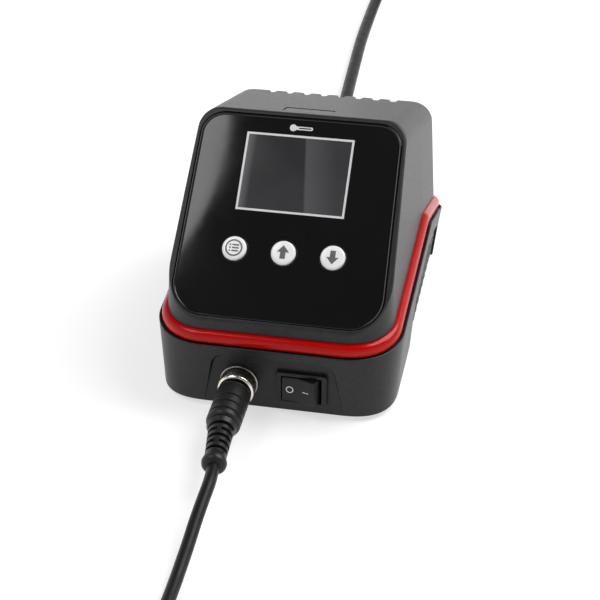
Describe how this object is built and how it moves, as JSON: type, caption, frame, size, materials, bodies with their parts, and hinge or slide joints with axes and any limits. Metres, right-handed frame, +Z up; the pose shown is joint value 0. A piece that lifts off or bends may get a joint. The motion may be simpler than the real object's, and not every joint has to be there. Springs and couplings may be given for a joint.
{
  "type": "soldering_station",
  "caption": "Digital soldering station: sloping black control box with display, buttons and red band, plug-in iron lead and mains lead",
  "frame": {"origin": "middle of the control box's footprint on the surface it stands on", "axes": "+Z up, +X to the right seen from the front, +Y from the front with its display towards the rear wall"},
  "size_m": [0.1185, 1.0828, 0.1024],
  "materials": {
    "case_black": "fine textured moulding",
    "trim_red": "smooth moulding",
    "panel_gloss": "polished",
    "display_grey": "smooth",
    "key_white": "smooth",
    "lens_pink": "translucent plastic",
    "led_red": "clear coloured epoxy",
    "rubber_black": "matte",
    "cord_pvc": "soft PVC",
    "switch_black": "fine grain",
    "nickel": "dark nickel plating",
    "steel": "zinc plated",
    "lamination": "varnished sheet stack",
    "aluminium": "extruded",
    "winding_tape": "polyester tape over copper",
    "board_green": "solder mask",
    "chip_black": "moulded epoxy",
    "can_blue": "shrink sleeve",
    "fuse_cream": "ceramic",
    "terminal_green": "moulded",
    "tip_plated": "plated copper",
    "grip_red": "soft silicone"
  },
  "bodies": {
    "root": {"board_carrier": "switch_black", "board_screw_1": "steel", "board_screw_2": "steel", "capacitor": "can_blue", "case_screw_1": "steel", "case_screw_2": "steel", "case_screw_3": "steel", "case_screw_4": "steel", "control_board": "board_green", "display_module": "display_grey", "foot_1": "rubber_black", "foot_2": "rubber_black", "foot_3": "rubber_black", "foot_4": "rubber_black", "front_panel": "panel_gloss", "fuse": "fuse_cream", "heat_sink": "aluminium", "iron_barrel": "steel", "iron_boot": "cord_pvc", "iron_grip": "grip_red", "iron_handle": "case_black", "iron_nut": "nickel", "iron_tip": "tip_plated", "key_switch_down": "chip_black", "key_switch_menu": "chip_black", "key_switch_up": "chip_black", "lower_shell": "case_black", "main_chip": "chip_black", "mains_cord": "cord_pvc", "mains_cord_coil": "cord_pvc", "mains_gland": "cord_pvc", "mains_plug": "cord_pvc", "mains_plug_boot": "cord_pvc", "plug_body": "cord_pvc", "plug_boot": "cord_pvc", "plug_core": "chip_black", "plug_pin_1": "nickel", "plug_pin_2": "nickel", "power_board": "board_green", "power_switch_housing": "switch_black", "socket_core": "chip_black", "socket_nut": "nickel", "socket_shell": "nickel", "status_led": "led_red", "status_lens": "lens_pink", "terminal_block": "terminal_green", "tool_cord": "cord_pvc", "tool_cord_coil": "cord_pvc", "transformer_core": "lamination", "transformer_screw_1": "steel", "transformer_screw_2": "steel", "transformer_winding": "winding_tape", "trim_ring": "trim_red", "upper_shell": "case_black"},
    "button_menu": {"button_menu": "key_white"},
    "button_up": {"button_up": "key_white"},
    "button_down": {"button_down": "key_white"},
    "rocker": {"power_switch_rocker": "switch_black"},
    "plug_collar": {"plug_collar": "nickel"}
  },
  "joints": [
    {"name": "press_menu", "type": "slide", "parent": "root", "child": "button_menu", "axis": [0, 0.6871, -0.7266], "range_m": [0, 0.0008], "stiffness_N_per_m": 1500, "springref_m": -0.0002},
    {"name": "press_up", "type": "slide", "parent": "root", "child": "button_up", "axis": [0, 0.6871, -0.7266], "range_m": [0, 0.0008], "stiffness_N_per_m": 1500, "springref_m": -0.0002},
    {"name": "press_down", "type": "slide", "parent": "root", "child": "button_down", "axis": [0, 0.6871, -0.7266], "range_m": [0, 0.0008], "stiffness_N_per_m": 1500, "springref_m": -0.0002},
    {"name": "mains_switch", "type": "hinge", "parent": "root", "child": "rocker", "pos_m": [0.0126, -0.06995, 0.0137], "axis": [0, 0, 1], "range_deg": [0, 22]},
    {"name": "coupling_ring", "type": "hinge", "parent": "root", "child": "plug_collar", "pos_m": [-0.0133, -0.07775, 0.0137], "axis": [0, -1, 0], "range_deg": [0, 1080]}
  ]
}
